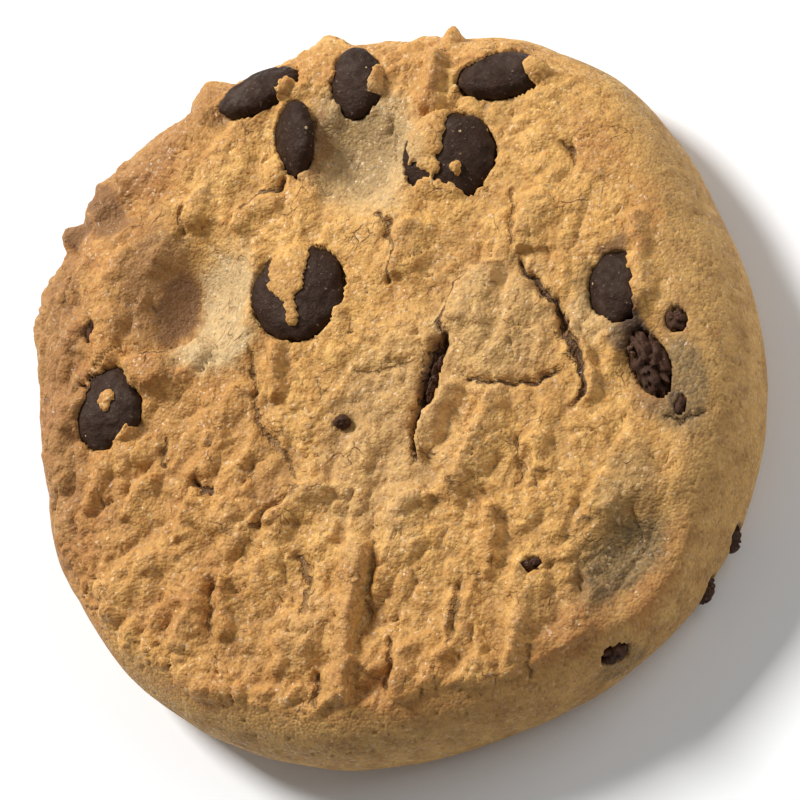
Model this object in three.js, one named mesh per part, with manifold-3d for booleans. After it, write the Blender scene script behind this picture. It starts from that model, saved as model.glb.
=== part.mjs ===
// Chocolate chip cookie: one piece of baked dough with chocolate chips set in it.
// Millimetres, +Z up. The flat underside lies on Z = 0 and the origin is at its middle.

import * as THREE from 'three';
import { mergeVertices } from 'three/addons/utils/BufferGeometryUtils.js';
import Module from 'manifold-3d';

const wasm = await Module();
wasm.setup();

// Dough: a round slab with a rounded wall and a slightly domed top.
const MEAN_RADIUS = 37.25;
const FOOT_INSET = 3.0; // how far the foot draws in under the belly
const BELLY_HEIGHT = 4.6; // height of the widest line of the wall
const CROWN_INSET = 6.0; // how far the shoulder draws in above the belly
const CROWN_HEIGHT = 12.0; // height where the shoulder meets the top
const DOME_RISE = 0.9; // rise of the top from the shoulder to the middle

// The outline isn't a true circle: slow waves in its radius, by how often each one
// repeats round the cookie, how far it swings and the angle of its crest in degrees.
const OUTLINE_WAVES = [
  { count: 1, swing: 0.29, crest: 122 },
  { count: 2, swing: 0.18, crest: -32 },
  { count: 3, swing: 0.12, crest: 3 },
  { count: 4, swing: 0.59, crest: -29 },
  { count: 6, swing: 0.19, crest: -12 },
  { count: 7, swing: 0.23, crest: 7 },
];

// How finely the dough is faceted.
const SECTORS = 64;
const TOP_RINGS = 7;
const WALL_RINGS = 5;

// A baked chip: a dome on a flat base with a rounded edge. Its heights go with its half-length.
const DOME_PER_LENGTH = 0.42;
const BASE_PER_LENGTH = 0.3;
const FLAT_OF_BASE = 0.75; // the flat of the base, as a part of the widest ring
const CHIP_SECTORS = 12;
const DOME_STEPS = 4;
const BASE_STEPS = 2;

// Room left between a piece of chocolate and the dough round it.
const POCKET_GAP = 0.3;

const DOUGH_COLOUR = 0xc99a55;
const CHOCOLATE_COLOUR = 0x33211c;

// Shallow hollows where the crust sank, and the open crack, as the lower halves of ellipsoids.
const HOLLOWS = [
  { x: -18.0, y: 8.8, long: 6.2, wide: 4.6, deep: 2.2, turn: 80 },
  { x: -0.4, y: 22.0, long: 5.6, wide: 4.4, deep: 1.6, turn: 100 },
  { x: 26.2, y: -16.6, long: 5.6, wide: 4.0, deep: 1.2, turn: 62 },
  { x: 6.8, y: -0.2, long: 4.4, wide: 1.3, deep: 1.4, turn: 72 },
];

// Chips in the top: half-sizes of the widest ring along and across, and the compass angle
// of the long way. rise is the height of that ring's middle over the crust, and lean tips
// the dome away from straight up, toward a compass angle.
const TOP_CHIPS = [
  { x: -13.1, y: 30.1, rise: -0.8, long: 4.6, wide: 2.6, turn: 21, lean: 32, toward: 111 },
  { x: -9.1, y: 24.6, rise: -0.9, long: 4.1, wide: 3.4, turn: 98, lean: 46, toward: 188 },
  { x: -2.8, y: 30.1, rise: -0.5, long: 3.8, wide: 2.9, turn: 100, lean: 14, toward: 180 },
  { x: 12.0, y: 29.9, rise: -0.8, long: 4.8, wide: 2.8, turn: 3, lean: 28, toward: 93 },
  { x: 7.3, y: 21.6, rise: -0.5, long: 4.75, wide: 4.75, turn: 0, lean: 4, toward: -40 },
  { x: -7.3, y: 8.5, rise: -0.4, long: 4.95, wide: 4.95, turn: 0, lean: 3, toward: 140 },
  { x: -27.0, y: -2.1, rise: -0.7, long: 4.3, wide: 3.9, turn: 95, lean: 14, toward: 180 },
  { x: 24.3, y: 7.6, rise: -0.7, long: 3.7, wide: 3.0, turn: 100, lean: 12, toward: 165 },
];

// Chips that break through the wall: height of the middle over the table, and how far
// the dome stands out of the wall.
const WALL_CHIPS = [
  { around: 102, height: 4.3, proud: 0.2, long: 3.7, wide: 3.4 },
  { around: 141, height: 4.9, proud: 0.3, long: 4.2, wide: 3.9 },
  { around: 168, height: 4.3, proud: 0.1, long: 3.6, wide: 3.4 },
  { around: 194, height: 4.0, proud: 0.1, long: 3.6, wide: 3.3 },
];

// Chips that lay on the baking sheet, base down.
const BASE_CHIPS = [
  { x: 12, y: -9, long: 4.2, wide: 3.9 },
  { x: -15, y: 14, long: 4.5, wide: 4.5 },
  { x: -7, y: -21, long: 3.9, wide: 3.7 },
  { x: 21, y: 12, long: 4.3, wide: 4.0 },
];
const BASE_CHIP_CLEARANCE = 0.15; // height of their bases over the table

// Broken chocolate in the top, as ellipsoids: half-sizes along, across and deep.
const TOP_SHARDS = [
  { x: 30.1, y: 4.1, rise: -0.5, long: 1.35, wide: 1.05, deep: 0.9, turn: 105 },
  { x: 6.8, y: -0.2, rise: -1.9, long: 2.9, wide: 0.7, deep: 1.6, turn: 72 },
  { x: -2.2, y: -4.6, rise: -0.5, long: 0.9, wide: 0.7, deep: 0.8, turn: 10 },
  { x: 23.7, y: -14.0, rise: -0.8, long: 1.1, wide: 0.4, deep: 0.8, turn: 25 },
  { x: 16.6, y: -19.0, rise: -0.3, long: 1.3, wide: 0.65, deep: 0.7, turn: 20 },
  { x: 30.7, y: -4.2, rise: -0.3, long: 1.0, wide: 0.5, deep: 0.7, turn: 75 },
  { x: -29.0, y: 6.0, rise: -0.3, long: 1.4, wide: 0.6, deep: 0.7, turn: 80 },
];

// The lumps of one crushed chip that runs on from the last chip in the top.
const CRUSHED_LUMPS = [
  { x: 26.9, y: 1.5, rise: -0.7, long: 2.1, wide: 1.7, deep: 1.6, turn: 80 },
  { x: 28.3, y: -1.5, rise: -0.6, long: 2.1, wide: 1.3, deep: 1.4, turn: 110 },
];

// Broken chocolate that shows in the front of the wall.
const WALL_SHARDS = [
  { around: -47.8, height: 8.0, proud: 0.3, long: 1.6, wide: 1.0, deep: 1.2, turn: 65 },
  { around: -23.9, height: 3.2, proud: 0.5, long: 2.2, wide: 1.1, deep: 1.4, turn: 15 },
  { around: -32.1, height: 2.6, proud: 0.5, long: 2.3, wide: 1.1, deep: 1.4, turn: -10 },
];

const radians = THREE.MathUtils.degToRad;
const UP = new THREE.Vector3(0, 0, 1);

// Radius of the widest line at an angle, in radians: the mean plus its waves.
function outlineRadius(angle) {
  let radius = MEAN_RADIUS;
  for (const { count, swing, crest } of OUTLINE_WAVES) {
    radius += swing * Math.cos(count * (angle - radians(crest)));
  }
  return radius;
}

// Height of the crust over a place on the top: the dome inside the shoulder line,
// and a quarter ellipse from there down to the belly.
function crustHeight(x, y) {
  const reach = Math.hypot(x, y);
  const widest = outlineRadius(Math.atan2(y, x));
  const shoulder = widest - CROWN_INSET;
  if (reach <= shoulder) {
    return CROWN_HEIGHT + DOME_RISE * (1 - (reach / shoulder) ** 2);
  }
  const across = (reach - shoulder) / CROWN_INSET;
  return BELLY_HEIGHT + (CROWN_HEIGHT - BELLY_HEIGHT) * Math.sqrt(1 - across ** 2);
}

// How far the wall stands in from the widest line at a height: a quarter ellipse each way.
function wallInset(height) {
  const below = height < BELLY_HEIGHT;
  const inset = below ? FOOT_INSET : CROWN_INSET;
  const span = below ? BELLY_HEIGHT : CROWN_HEIGHT - BELLY_HEIGHT;
  const part = (height - BELLY_HEIGHT) / span;
  return inset * (1 - Math.sqrt(1 - part ** 2));
}

// The rings of the dough from its underside to its top, each as a function
// from the outline's radius to the ring's radius, and a height.
function doughRings() {
  const rings = [];
  for (const part of [0.5, 0.94]) {
    rings.push({ at: (widest) => part * (widest - FOOT_INSET), height: 0 });
  }
  for (let i = 0; i <= WALL_RINGS; i += 1) {
    const turn = (i / WALL_RINGS) * (Math.PI / 2);
    const inset = FOOT_INSET * (1 - Math.sin(turn));
    rings.push({ at: (widest) => widest - inset, height: BELLY_HEIGHT * (1 - Math.cos(turn)) });
  }
  for (let i = 1; i <= WALL_RINGS; i += 1) {
    const turn = (i / WALL_RINGS) * (Math.PI / 2);
    const inset = CROWN_INSET * (1 - Math.cos(turn));
    const height = BELLY_HEIGHT + (CROWN_HEIGHT - BELLY_HEIGHT) * Math.sin(turn);
    rings.push({ at: (widest) => widest - inset, height });
  }
  for (let i = 1; i < TOP_RINGS; i += 1) {
    const part = 1 - i / TOP_RINGS;
    const height = CROWN_HEIGHT + DOME_RISE * (1 - part ** 2);
    rings.push({ at: (widest) => part * (widest - CROWN_INSET), height });
  }
  return rings;
}

// A closed surface through rings of equal count, with a point at each end of the axis.
function doughGeometry() {
  const rings = doughRings();
  const points = [0, 0, 0];
  for (const { at, height } of rings) {
    for (let j = 0; j < SECTORS; j += 1) {
      const angle = (j / SECTORS) * 2 * Math.PI;
      const radius = at(outlineRadius(angle));
      points.push(radius * Math.cos(angle), radius * Math.sin(angle), height);
    }
  }
  points.push(0, 0, CROWN_HEIGHT + DOME_RISE);
  const last = rings.length - 1;
  const top = points.length / 3 - 1;
  const faces = [];
  for (let j = 0; j < SECTORS; j += 1) {
    const next = (j + 1) % SECTORS;
    faces.push(0, 1 + next, 1 + j);
    for (let i = 0; i < last; i += 1) {
      const low = 1 + i * SECTORS;
      const high = low + SECTORS;
      faces.push(low + j, low + next, high + next);
      faces.push(low + j, high + next, high + j);
    }
    const edge = 1 + last * SECTORS;
    faces.push(edge + j, edge + next, top);
  }
  const geometry = new THREE.BufferGeometry();
  geometry.setAttribute('position', new THREE.Float32BufferAttribute(points, 3));
  geometry.setIndex(faces);
  return geometry;
}

// A chip with its dome up, its widest ring at Z = 0 and its long way along X,
// grown all round by an extra.
function chipGeometry({ long, wide }, extra = 0) {
  const dome = long * DOME_PER_LENGTH + extra;
  const base = long * BASE_PER_LENGTH + extra;
  const profile = [new THREE.Vector2(0, -base)];
  for (let i = BASE_STEPS; i > 0; i -= 1) {
    const turn = (i / BASE_STEPS) * (Math.PI / 2);
    const ring = FLAT_OF_BASE + (1 - FLAT_OF_BASE) * Math.cos(turn);
    profile.push(new THREE.Vector2(ring, -base * Math.sin(turn)));
  }
  for (let i = 0; i < DOME_STEPS; i += 1) {
    const turn = (i / DOME_STEPS) * (Math.PI / 2);
    profile.push(new THREE.Vector2(Math.cos(turn), dome * Math.sin(turn)));
  }
  profile.push(new THREE.Vector2(0, dome));
  const chip = new THREE.LatheGeometry(profile, CHIP_SECTORS).rotateX(Math.PI / 2);
  return chip.scale(long + extra, wide + extra, 1);
}

// An ellipsoid about the origin with its long half-size along X, grown by an extra.
function lumpGeometry({ long, wide, deep }, extra = 0) {
  const sphere = new THREE.SphereGeometry(1, 10, 7);
  return sphere.scale(long + extra, wide + extra, deep + extra);
}

// The turn that tips the Z axis by a lean toward a compass angle, in degrees.
function leaning(lean, toward) {
  const axis = new THREE.Vector3(-Math.sin(radians(toward)), Math.cos(radians(toward)), 0);
  return new THREE.Quaternion().setFromAxisAngle(axis, radians(lean));
}

// Places for pieces in the top: over the crust, turned about the vertical or leaning.
function onTop({ x, y, rise, lean = 0, toward = 0, turn = 0 }) {
  const place = new THREE.Vector3(x, y, crustHeight(x, y) + rise);
  const turned = leaning(lean, toward);
  turned.multiply(new THREE.Quaternion().setFromAxisAngle(UP, radians(turn)));
  return new THREE.Matrix4().compose(place, turned, new THREE.Vector3(1, 1, 1));
}

// Places for pieces in the wall, whose own Z axis then points outward. thick is how
// far the piece reaches along that axis, and turn spins it in the face of the wall.
function inWall({ around, height, proud, thick, turn = 0 }) {
  const angle = radians(around);
  const reach = outlineRadius(angle) - wallInset(height) + proud - thick;
  const place = new THREE.Vector3(reach * Math.cos(angle), reach * Math.sin(angle), height);
  const turned = leaning(90, around);
  const upright = new THREE.Quaternion().setFromAxisAngle(UP, radians(90 + turn - around));
  turned.multiply(upright);
  return new THREE.Matrix4().compose(place, turned, new THREE.Vector3(1, 1, 1));
}

// A closed mesh as a solid, from its merged corner points alone.
function solidFrom(geometry) {
  const plain = geometry.clone();
  plain.deleteAttribute('normal');
  plain.deleteAttribute('uv');
  const merged = mergeVertices(plain, 1e-4);
  const vertProperties = new Float32Array(merged.attributes.position.array);
  const triVerts = new Uint32Array(merged.index.array);
  return new wasm.Manifold(new wasm.Mesh({ numProp: 3, vertProperties, triVerts }));
}

// A solid back as a geometry with flat facets.
function geometryFrom(solid) {
  const { vertProperties, triVerts } = solid.getMesh();
  const geometry = new THREE.BufferGeometry();
  geometry.setAttribute('position', new THREE.Float32BufferAttribute(vertProperties, 3));
  geometry.setIndex(Array.from(triVerts));
  geometry.computeVertexNormals();
  return geometry;
}

// One named piece of chocolate, with the grown copies of it that its pocket is cut by.
function chocolatePiece(name, geometries, pockets) {
  const solids = geometries.map(solidFrom);
  const whole = solids.reduce((joined, solid) => joined.add(solid));
  return { name, geometry: geometryFrom(whole), pockets: pockets.map(solidFrom) };
}

function chipPiece(name, chip, place) {
  const body = chipGeometry(chip).applyMatrix4(place);
  const pocket = chipGeometry(chip, POCKET_GAP).applyMatrix4(place);
  return chocolatePiece(name, [body], [pocket]);
}

function lumpPiece(name, lumps, places) {
  const bodies = lumps.map((lump, i) => lumpGeometry(lump).applyMatrix4(places[i]));
  const pockets = lumps.map((lump, i) => lumpGeometry(lump, POCKET_GAP).applyMatrix4(places[i]));
  return chocolatePiece(name, bodies, pockets);
}

function numbered(name, index) {
  return `${name}_${String(index + 1).padStart(2, '0')}`;
}

// Every piece of chocolate in the cookie.
function chocolatePieces() {
  const topChips = TOP_CHIPS.map((chip, i) => (
    chipPiece(numbered('top_chip', i), chip, onTop(chip))
  ));
  const wallChips = WALL_CHIPS.map((chip, i) => {
    const place = inWall({ ...chip, thick: chip.long * DOME_PER_LENGTH });
    return chipPiece(numbered('wall_chip', i), chip, place);
  });
  const baseChips = BASE_CHIPS.map((chip, i) => {
    const height = BASE_CHIP_CLEARANCE + chip.long * BASE_PER_LENGTH;
    const place = new THREE.Matrix4().makeTranslation(chip.x, chip.y, height);
    return chipPiece(numbered('base_chip', i), chip, place);
  });
  const topShards = TOP_SHARDS.map((shard, i) => (
    lumpPiece(numbered('top_shard', i), [shard], [onTop(shard)])
  ));
  const wallShards = WALL_SHARDS.map((shard, i) => {
    const place = inWall({ ...shard, thick: shard.deep });
    return lumpPiece(numbered('wall_shard', i), [shard], [place]);
  });
  const crushed = lumpPiece('crushed_chip', CRUSHED_LUMPS, CRUSHED_LUMPS.map(onTop));
  return [...topChips, ...wallChips, ...baseChips, ...topShards, ...wallShards, crushed];
}

// The dough with its hollows and the pockets for the chocolate cut out.
function doughSolid(pieces) {
  let dough = solidFrom(doughGeometry());
  for (const hollow of HOLLOWS) {
    const place = onTop({ ...hollow, rise: 0 });
    dough = dough.subtract(solidFrom(lumpGeometry(hollow).applyMatrix4(place)));
  }
  for (const { pockets } of pieces) {
    for (const pocket of pockets) {
      dough = dough.subtract(pocket);
    }
  }
  return dough;
}

function namedMesh(name, geometry, material) {
  const mesh = new THREE.Mesh(geometry, material);
  mesh.name = name;
  return mesh;
}

function buildCookie() {
  const doughMaterial = new THREE.MeshStandardMaterial({
    color: DOUGH_COLOUR,
    roughness: 0.85,
    metalness: 0,
  });
  const pieces = chocolatePieces();
  const cookie = new THREE.Group();
  cookie.add(namedMesh('dough', geometryFrom(doughSolid(pieces)), doughMaterial));
  for (const { name, geometry } of pieces) {
    const chocolateMaterial = new THREE.MeshStandardMaterial({
      color: CHOCOLATE_COLOUR,
      roughness: 0.45,
      metalness: 0,
    });
    cookie.add(namedMesh(name, geometry, chocolateMaterial));
  }
  const box = new THREE.Box3().setFromObject(cookie);
  const middle = box.getCenter(new THREE.Vector3());
  cookie.position.set(-middle.x, -middle.y, -box.min.z);
  return cookie;
}

export default buildCookie();
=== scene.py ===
"""A chocolate chip cookie: one baked dough with a crackled crust, and chocolate set in it.

Shapes are worked out in millimetres with numpy, in the frame's own axes, and put into
meshes in metres. The dough is one closed surface of rings: each point starts on a plain
rounded slab and moves along the slab's normal by the crust's height there.
"""

import math

import bpy
import numpy as np
from mathutils import Matrix, Vector


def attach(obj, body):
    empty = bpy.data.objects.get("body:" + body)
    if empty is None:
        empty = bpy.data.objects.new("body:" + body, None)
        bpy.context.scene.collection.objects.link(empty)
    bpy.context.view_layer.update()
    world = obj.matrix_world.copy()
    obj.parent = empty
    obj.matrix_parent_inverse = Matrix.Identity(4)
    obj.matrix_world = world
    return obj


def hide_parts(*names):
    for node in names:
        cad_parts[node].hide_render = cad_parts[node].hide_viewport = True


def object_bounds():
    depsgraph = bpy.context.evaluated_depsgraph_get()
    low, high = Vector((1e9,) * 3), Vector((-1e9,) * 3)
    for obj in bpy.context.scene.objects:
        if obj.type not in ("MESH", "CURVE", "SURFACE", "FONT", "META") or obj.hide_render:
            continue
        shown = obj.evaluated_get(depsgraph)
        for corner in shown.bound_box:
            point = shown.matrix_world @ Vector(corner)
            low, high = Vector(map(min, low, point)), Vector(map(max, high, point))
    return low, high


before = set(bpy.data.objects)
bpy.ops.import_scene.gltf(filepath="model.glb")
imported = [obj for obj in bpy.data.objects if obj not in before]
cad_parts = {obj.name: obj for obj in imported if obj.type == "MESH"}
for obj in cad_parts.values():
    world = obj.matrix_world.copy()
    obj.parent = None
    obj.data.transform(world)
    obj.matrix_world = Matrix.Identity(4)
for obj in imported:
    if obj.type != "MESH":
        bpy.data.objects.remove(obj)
cad_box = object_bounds()

MM = 0.001

# The plain slab, as in the frame: a domed top, a shoulder and a foot of quarter ellipses.
MEAN_RADIUS = 37.25
FOOT_INSET = 3.0
BELLY_HEIGHT = 4.6
CROWN_INSET = 6.0
CROWN_HEIGHT = 12.0
DOME_RISE = 0.9
# Slow waves of the outline: how many go round, their swing in mm, and a crest's angle.
OUTLINE_WAVES = (
    (1, 0.29, 122), (2, 0.18, -32), (3, 0.12, 3), (4, 0.59, -29), (6, 0.19, -12), (7, 0.23, 7),
)

# How finely the dough is ringed: the top and half the shoulder gain RING_GAIN points a ring,
# the rest of the wall keeps the last count, and the underside has half that count at its
# edge and then loses RING_GAIN points a ring.
RING_GAIN = 6
TOP_RINGS = 118
SHOULDER_RINGS = 20
LOW_SHOULDER_RINGS = 14
FOOT_RINGS = 15
UNDER_RINGS = 60


# ---------------------------------------------------------------- noise

def scramble(ix, iy, seed):
    """Even pseudo-random numbers in 0..1 for whole-number corners: products with large odd
    numbers, mixed by shifts and exclusive or."""
    h = (ix * 374761393 + iy * 668265263 + seed * 1274126177) & 0xFFFFFFFF
    h = ((h ^ (h >> 13)) * 1103515245) & 0xFFFFFFFF
    h = ((h ^ (h >> 15)) * 1274126177) & 0xFFFFFFFF
    return (h ^ (h >> 16)) / 4294967296.0


def gradient_noise(u, v, size, seed):
    """Smooth noise in about -1..1 with lumps of a given size: a random slope at each lattice
    corner, blended between corners with a fifth-power ease."""
    u, v = u / size, v / size
    iu, iv = np.floor(u).astype(np.int64), np.floor(v).astype(np.int64)
    fu, fv = u - iu, v - iv
    eu = fu ** 3 * (fu * (fu * 6 - 15) + 10)
    ev = fv ** 3 * (fv * (fv * 6 - 15) + 10)

    def corner(du, dv):
        turn = scramble(iu + du, iv + dv, seed) * 2 * np.pi
        return np.cos(turn) * (fu - du) + np.sin(turn) * (fv - dv)

    low = corner(0, 0) * (1 - eu) + corner(1, 0) * eu
    high = corner(0, 1) * (1 - eu) + corner(1, 1) * eu
    return 1.5 * (low * (1 - ev) + high * ev)


def cell_noise(u, v, size, seed):
    """Distances to the nearest and second nearest of one random point per lattice cell, in
    cells, a random number that belongs to the nearest point, and how far past it u is."""
    u, v = u / size, v / size
    iu, iv = np.floor(u).astype(np.int64), np.floor(v).astype(np.int64)
    first = np.full(u.shape, 9.0)
    second = np.full(u.shape, 9.0)
    owner = np.zeros(u.shape)
    past = np.zeros(u.shape)
    for du in (-1, 0, 1):
        for dv in (-1, 0, 1):
            cu, cv = iu + du, iv + dv
            across = u - cu - scramble(cu, cv, seed)
            gap = np.hypot(across, v - cv - scramble(cu, cv, seed + 1))
            nearer = gap < first
            second = np.where(nearer, first, np.minimum(second, gap))
            owner = np.where(nearer, scramble(cu, cv, seed + 2), owner)
            past = np.where(nearer, across, past)
            first = np.where(nearer, gap, first)
    return first, second, owner, past


def ease(low, high, x):
    """0 below low, 1 above high, with a smooth S between."""
    t = np.clip((x - low) / (high - low), 0, 1)
    return t * t * (3 - 2 * t)


def turned(u, v, x, y, turn):
    """How far each place lies from x, y along a direction and across it, to its left."""
    a = math.radians(turn)
    along = (u - x) * math.cos(a) + (v - y) * math.sin(a)
    return along, (v - y) * math.cos(a) - (u - x) * math.sin(a)


def bump_at(u, v, x, y, along, across, turn):
    """A rounded bump: 1 at a place, falling to 0 at the edge of an ellipse."""
    p, q = turned(u, v, x, y, turn)
    p, q = p / along, q / across
    return np.clip(1 - p * p - q * q, 0, 1) ** 2


def wander(u, v, large, small, seed):
    """The places shifted both ways by two layers of noise, each layer a reach and a size in
    mm, so that straight lines and round edges come out ragged."""
    shifted = []
    for place, first in ((u, seed), (v, seed + 2)):
        place = place + large[0] * gradient_noise(u, v, large[1], first)
        shifted.append(place + small[0] * gradient_noise(u, v, small[1], first + 1))
    return shifted


def line_distance(u, v, points):
    """Distance from each place to a bent line through points, how far along the line the
    nearest spot is, from 0 to 1, and whether the place lies to the right of the line."""
    best = np.full(u.shape, 1e9)
    where = np.zeros(u.shape)
    right = np.zeros(u.shape, bool)
    legs = len(points) - 1
    for k in range(legs):
        (ax, ay), (bx, by) = points[k], points[k + 1]
        dx, dy = bx - ax, by - ay
        t = np.clip(((u - ax) * dx + (v - ay) * dy) / (dx * dx + dy * dy), 0, 1)
        gap = np.hypot(u - ax - t * dx, v - ay - t * dy)
        nearer = gap < best
        best = np.where(nearer, gap, best)
        where = np.where(nearer, (k + t) / legs, where)
        right = np.where(nearer, dx * (v - ay) - dy * (u - ax) < 0, right)
    return best, where, right


# ---------------------------------------------------------------- the plain slab

def outline_radius(angle):
    """Radius of the belly at an angle: the mean and its slow waves."""
    radius = np.full(np.shape(angle), MEAN_RADIUS)
    for count, swing, crest in OUTLINE_WAVES:
        radius = radius + swing * np.cos(count * (angle - math.radians(crest)))
    return radius


def slab_rings():
    """The rings of the slab from the middle of the top to the middle of the underside, each
    as its count of points and its place down the profile: 0 to 1 across the top, 1 to 2 down
    the shoulder, 2 to 3 down the foot, and 3 to 4 in across the underside."""
    rings = [(1, 0.0)]
    rings += [(RING_GAIN * k, k / TOP_RINGS) for k in range(1, TOP_RINGS + 1)]
    rings += [(RING_GAIN * (TOP_RINGS + k), 1 + 0.5 * k / SHOULDER_RINGS)
              for k in range(1, SHOULDER_RINGS + 1)]
    most = RING_GAIN * (TOP_RINGS + SHOULDER_RINGS)
    rings += [(most, 1.5 + 0.5 * k / LOW_SHOULDER_RINGS)
              for k in range(1, LOW_SHOULDER_RINGS + 1)]
    rings += [(most, 2 + k / FOOT_RINGS) for k in range(1, FOOT_RINGS + 1)]
    rings += [(most // 2, 3 + 0.5 / UNDER_RINGS)]
    rings += [(RING_GAIN * k, 4 - k / UNDER_RINGS) for k in range(UNDER_RINGS - 1, 0, -1)]
    rings += [(1, 4.0)]
    return rings


def ring_faces(rings):
    """Triangles between neighbouring rings: each edge of a ring joins the point of the other
    ring that its middle has reached, so rings of different counts close without a gap. A
    ring of one point is a pole."""
    faces = []
    start = 0
    for (inner, _), (outer, _) in zip(rings[:-1], rings[1:]):
        first, second = start, start + inner
        start = second
        inner_mid = (np.arange(inner) + 0.5) / inner
        outer_mid = (np.arange(outer) + 0.5) / outer
        if inner > 1:
            i = np.arange(inner)
            j = np.searchsorted(outer_mid, inner_mid, side="left") % outer
            faces.append(np.stack([first + i, second + j, first + (i + 1) % inner], 1))
        if outer > 1:
            j = np.arange(outer)
            i = np.searchsorted(inner_mid, outer_mid, side="right") % inner
            faces.append(np.stack([second + j, second + (j + 1) % outer, first + i], 1))
    return np.concatenate(faces)


class Slab:
    """The plain slab's points, as arrays: angle, place down the profile, position, normal,
    and where each would lie if the top and wall were rolled out flat round the middle."""

    def __init__(self):
        self.rings = slab_rings()
        counts = [count for count, _ in self.rings]
        self.angle = np.concatenate([np.arange(n) * 2 * np.pi / n for n in counts])
        self.down = np.concatenate([np.full(n, place) for n, place in self.rings])
        self.widest = outline_radius(self.angle)
        self.place_points()

    def place_points(self):
        """The profile in four parts: a parabola across the top, a quarter ellipse down the
        shoulder, another in to the foot, and a flat underside. The normal is the profile's
        slope turned a quarter turn and brought to length 1."""
        down, widest = self.down, self.widest
        crown = CROWN_HEIGHT - BELLY_HEIGHT
        top = np.clip(down, 0, 1)
        shoulder = np.clip(down - 1, 0, 1) * np.pi / 2
        foot = np.clip(down - 2, 0, 1) * np.pi / 2
        under = np.clip(down - 3, 0, 1)
        parts = [down <= 1, down <= 2, down <= 3]
        reach = np.select(
            parts,
            [top * (widest - CROWN_INSET),
             widest - CROWN_INSET * (1 - np.sin(shoulder)),
             widest - FOOT_INSET * (1 - np.cos(foot))],
            (1 - under) * (widest - FOOT_INSET))
        height = np.select(
            parts,
            [CROWN_HEIGHT + DOME_RISE * (1 - top ** 2),
             BELLY_HEIGHT + crown * np.cos(shoulder),
             BELLY_HEIGHT * (1 - np.sin(foot))],
            0.0)
        out = np.select(
            parts,
            [2 * DOME_RISE * top / (widest - CROWN_INSET),
             crown * np.sin(shoulder), BELLY_HEIGHT * np.cos(foot)], 0.0)
        up = np.select(
            parts,
            [1.0, CROWN_INSET * np.cos(shoulder), -FOOT_INSET * np.sin(foot)], -1.0)
        size = np.hypot(out, up)
        cos, sin = np.cos(self.angle), np.sin(self.angle)
        self.point = np.stack([reach * cos, reach * sin, height], 1)
        self.normal = np.stack([out / size * cos, out / size * sin, up / size], 1)
        # Arc length down the profile, with each quarter ellipse taken as even in its angle.
        shoulder_length = 0.5 * np.pi * math.sqrt((CROWN_INSET ** 2 + crown ** 2) / 2)
        foot_length = 0.5 * np.pi * math.sqrt((FOOT_INSET ** 2 + BELLY_HEIGHT ** 2) / 2)
        self.arc = (top * (widest - CROWN_INSET) + np.clip(down - 1, 0, 1) * shoulder_length
                    + np.clip(down - 2, 0, 1) * foot_length)
        self.past_crown = self.arc - (widest - CROWN_INSET)
        self.u, self.v = self.arc * cos, self.arc * sin


# ---------------------------------------------------------------- chocolate

DOME_KEPT = 0.82  # the chips' domes are a little flatter than their nodes
BASE_POWER = 3.2  # how square a chip's flatter base is, where 2 is an ellipsoid
ROUND_POWER = 2.0
PROBE = np.arange(-7.0, 4.0, 0.05)  # heights in mm tried along a slab point's normal


class Lump:
    """A piece of chocolate as read from its CAD node: its middle, its three axes (long, wide
    and thick) and its reach along each. A chip's thick axis points out of its dome."""

    def __init__(self, node):
        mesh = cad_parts[node].data
        corners = np.empty(len(mesh.vertices) * 3)
        mesh.vertices.foreach_get("co", corners)
        points = np.unique(corners.reshape(-1, 3).round(6), axis=0) / MM
        middle = points.mean(0)
        _, vectors = np.linalg.eigh(np.cov((points - middle).T))
        self.axes = vectors[:, ::-1].T.copy()
        if np.linalg.det(self.axes) < 0:
            self.axes[1] = -self.axes[1]
        local = (points - middle) @ self.axes.T
        low, high = local.min(0), local.max(0)
        self.reach = (high - low) / 2
        self.name = node
        self.is_chip = "chip" in node and node != "crushed_chip"
        self.power = BASE_POWER if self.is_chip else ROUND_POWER
        centre = (low + high) / 2
        self.dome = self.base = self.reach[2]
        if self.is_chip:
            wide = np.hypot(local[:, 0] / self.reach[0], local[:, 1] / self.reach[1])
            ring = local[wide > 0.97, 2].mean()
            if high[2] - ring < ring - low[2]:
                self.axes[1:] = -self.axes[1:]
                ring, low[2], high[2] = -ring, -high[2], -low[2]
            self.dome, self.base = high[2] - ring, ring - low[2]
            centre = np.array([0.0, 0.0, ring])
            self.dome *= DOME_KEPT
        self.middle = middle + centre @ self.axes

    def depth(self, points):
        """Below 1 inside the lump, 1 on its surface: an ellipsoid above the widest ring, and
        below it one of a higher power, which has a flatter base."""
        local = (points - self.middle) @ self.axes.T
        flat = np.hypot(local[..., 0] / self.reach[0], local[..., 1] / self.reach[1])
        above = np.sqrt(flat ** 2 + (local[..., 2] / self.dome) ** 2)
        thick = np.abs(local[..., 2] / self.base)
        below = (flat ** self.power + thick ** self.power) ** (1 / self.power)
        return np.where(local[..., 2] > 0, above, below)

    def span(self, slab, near):
        """Where a slab point's normal line enters and leaves the lump, in mm from the slab,
        and whether it meets it at all."""
        point, normal = slab.point[near], slab.normal[near]
        inside = self.depth(point[:, None] + PROBE[None, :, None] * normal[:, None]) < 1
        hit = inside.any(1)
        enter = PROBE[np.argmax(inside, 1)]
        leave = PROBE[len(PROBE) - 1 - np.argmax(inside[:, ::-1], 1)]
        return hit, enter, leave


CHOCOLATE_NODES = sorted(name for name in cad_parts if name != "dough")


# ---------------------------------------------------------------- crust

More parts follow.
